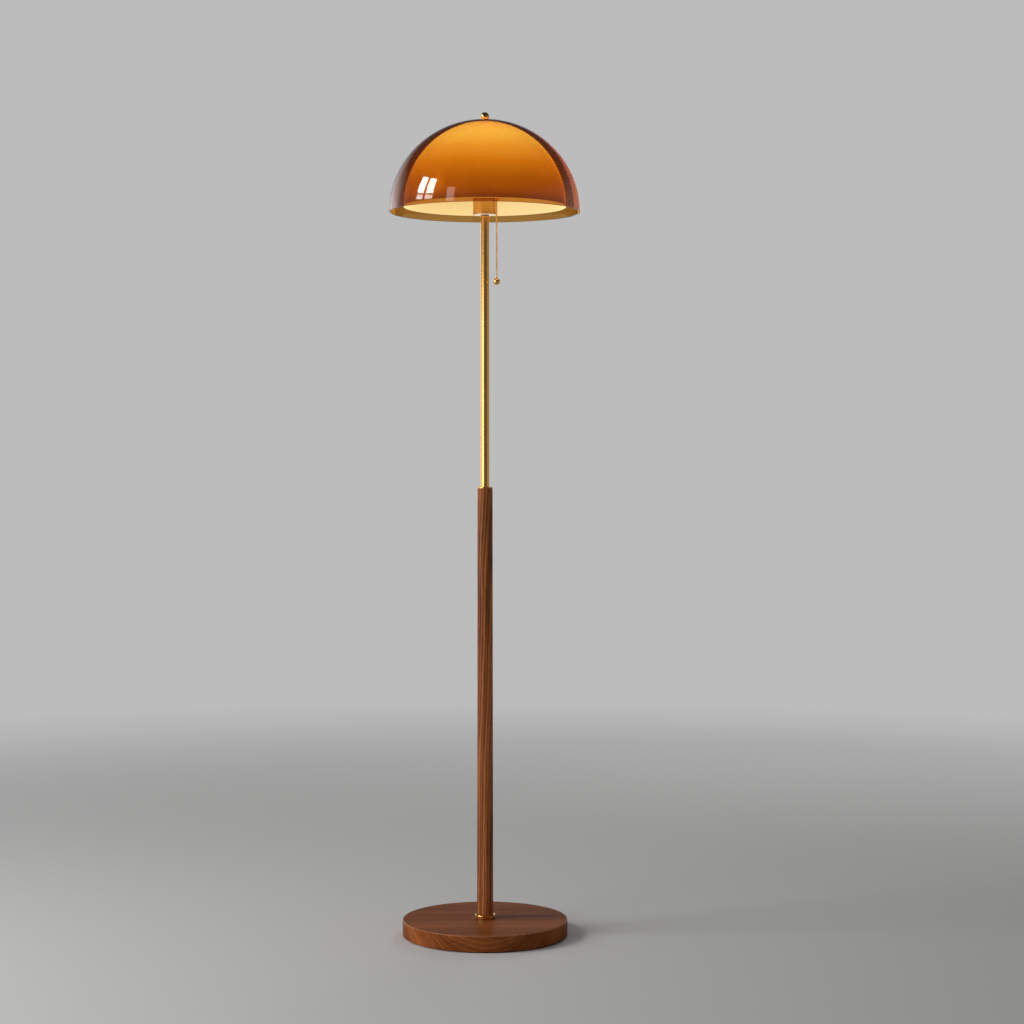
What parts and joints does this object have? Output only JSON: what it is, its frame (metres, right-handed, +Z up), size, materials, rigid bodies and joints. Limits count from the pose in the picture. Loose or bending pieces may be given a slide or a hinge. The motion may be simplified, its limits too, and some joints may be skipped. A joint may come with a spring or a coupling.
{
  "type": "mushroom floor lamp",
  "caption": "Floor lamp with a round wooden foot, wooden column, metal tube, nested domed shades and a pull-chain switch.",
  "frame": {"origin": "on the floor under the middle of the foot", "axes": "+Z up the pole, -Y to the front of the picture, +X to the right in it"},
  "size_m": [0.354, 0.354, 1.524],
  "materials": {
    "walnut": "satin oiled walnut",
    "polished_brass": "polished and lacquered",
    "satin_brass": "satin",
    "dark_bronze": "dark patinated",
    "zinc_steel": "zinc plated",
    "iron": "painted black",
    "felt": "dense felt",
    "black_plastic": "moulded, matt",
    "white_plastic": "moulded, satin",
    "lead_sheath": "extruded sheath",
    "porcelain": "glazed",
    "nickel": "nickel plated",
    "bulb_opal": "frosted white, lit",
    "amber_glass": "clear brown-amber, glossy",
    "opal_acrylic": "opal white, lit from inside"
  },
  "bodies": {
    "lamp": {"foot_disc": "walnut", "wood_column": "walnut", "foot_collar": "polished_brass", "column_cap": "polished_brass", "upper_tube": "polished_brass", "chain_guide": "polished_brass", "cup": "satin_brass", "harp_wire": "satin_brass", "harp_ferrules": "satin_brass", "harp_stud": "satin_brass", "harp_saddle": "satin_brass", "shade_washer": "satin_brass", "thread_shell": "satin_brass", "tube_foot_insert": "satin_brass", "tube_head_insert": "satin_brass", "centre_contact": "satin_brass", "switch_contacts": "satin_brass", "neck_spacer": "dark_bronze", "tie_rod": "zinc_steel", "foot_nut": "zinc_steel", "foot_washer": "zinc_steel", "top_nipple": "zinc_steel", "plate_nut": "zinc_steel", "weight_screws": "zinc_steel", "switch_bracket": "zinc_steel", "switch_pin": "zinc_steel", "return_spring": "zinc_steel", "foot_weight": "iron", "felt_pad": "felt", "cord_gland": "black_plastic", "switch_housing": "black_plastic", "shade_spacer": "black_plastic", "cup_plate": "white_plastic", "core_wires": "white_plastic", "lamp_lead": "lead_sheath", "lamp_holder": "porcelain", "amber_shade": "amber_glass", "opal_diffuser": "opal_acrylic"},
    "lever": {"pull_lever": "satin_brass"},
    "link": {"chain_connector": "polished_brass"},
    "pull": {"pull_chain": "polished_brass", "pull_ball": "polished_brass"},
    "rotor": {"switch_rotor": "black_plastic"},
    "finial": {"finial": "polished_brass"},
    "bulb": {"bulb_foot": "black_plastic", "bulb_cap": "nickel", "bulb_glass": "bulb_opal"}
  },
  "joints": [
    {"name": "lever_pull", "type": "hinge", "parent": "lamp", "child": "lever", "pos_m": [0.00716, -0.00458, 1.369], "axis": [0.5388, 0.8425, 0], "range_deg": [0, 22.5], "stiffness_Nm_per_rad": 0.2, "springref_deg": -14.32},
    {"name": "link_level", "type": "hinge", "parent": "lever", "child": "link", "pos_m": [0.02157, -0.01379, 1.369], "axis": [0.5388, 0.8425, 0], "range_deg": [-22.5, 0]},
    {"name": "chain_swing", "type": "hinge", "parent": "link", "child": "pull", "pos_m": [0.02157, -0.01379, 1.36035], "axis": [-0.5388, -0.8425, 0], "range_deg": [-1.5, 25]},
    {"name": "rotor_step", "type": "hinge", "parent": "lamp", "child": "rotor", "pos_m": [0.00716, -0.00458, 1.369], "axis": [0.5388, 0.8425, 0], "range_deg": [0, 22.5]},
    {"name": "finial_turn", "type": "hinge", "parent": "lamp", "child": "finial", "pos_m": [0, 0, 1.516], "axis": [0, 0, 1], "continuous": true},
    {"name": "bulb_turn", "type": "hinge", "parent": "lamp", "child": "bulb", "pos_m": [0, 0, 1.4], "axis": [0, 0, 1], "continuous": true}
  ],
  "couplings": [
    {"joint": "link_level", "follows": "lever_pull", "ratio": -1},
    {"joint": "rotor_step", "follows": "lever_pull", "ratio": 1}
  ]
}
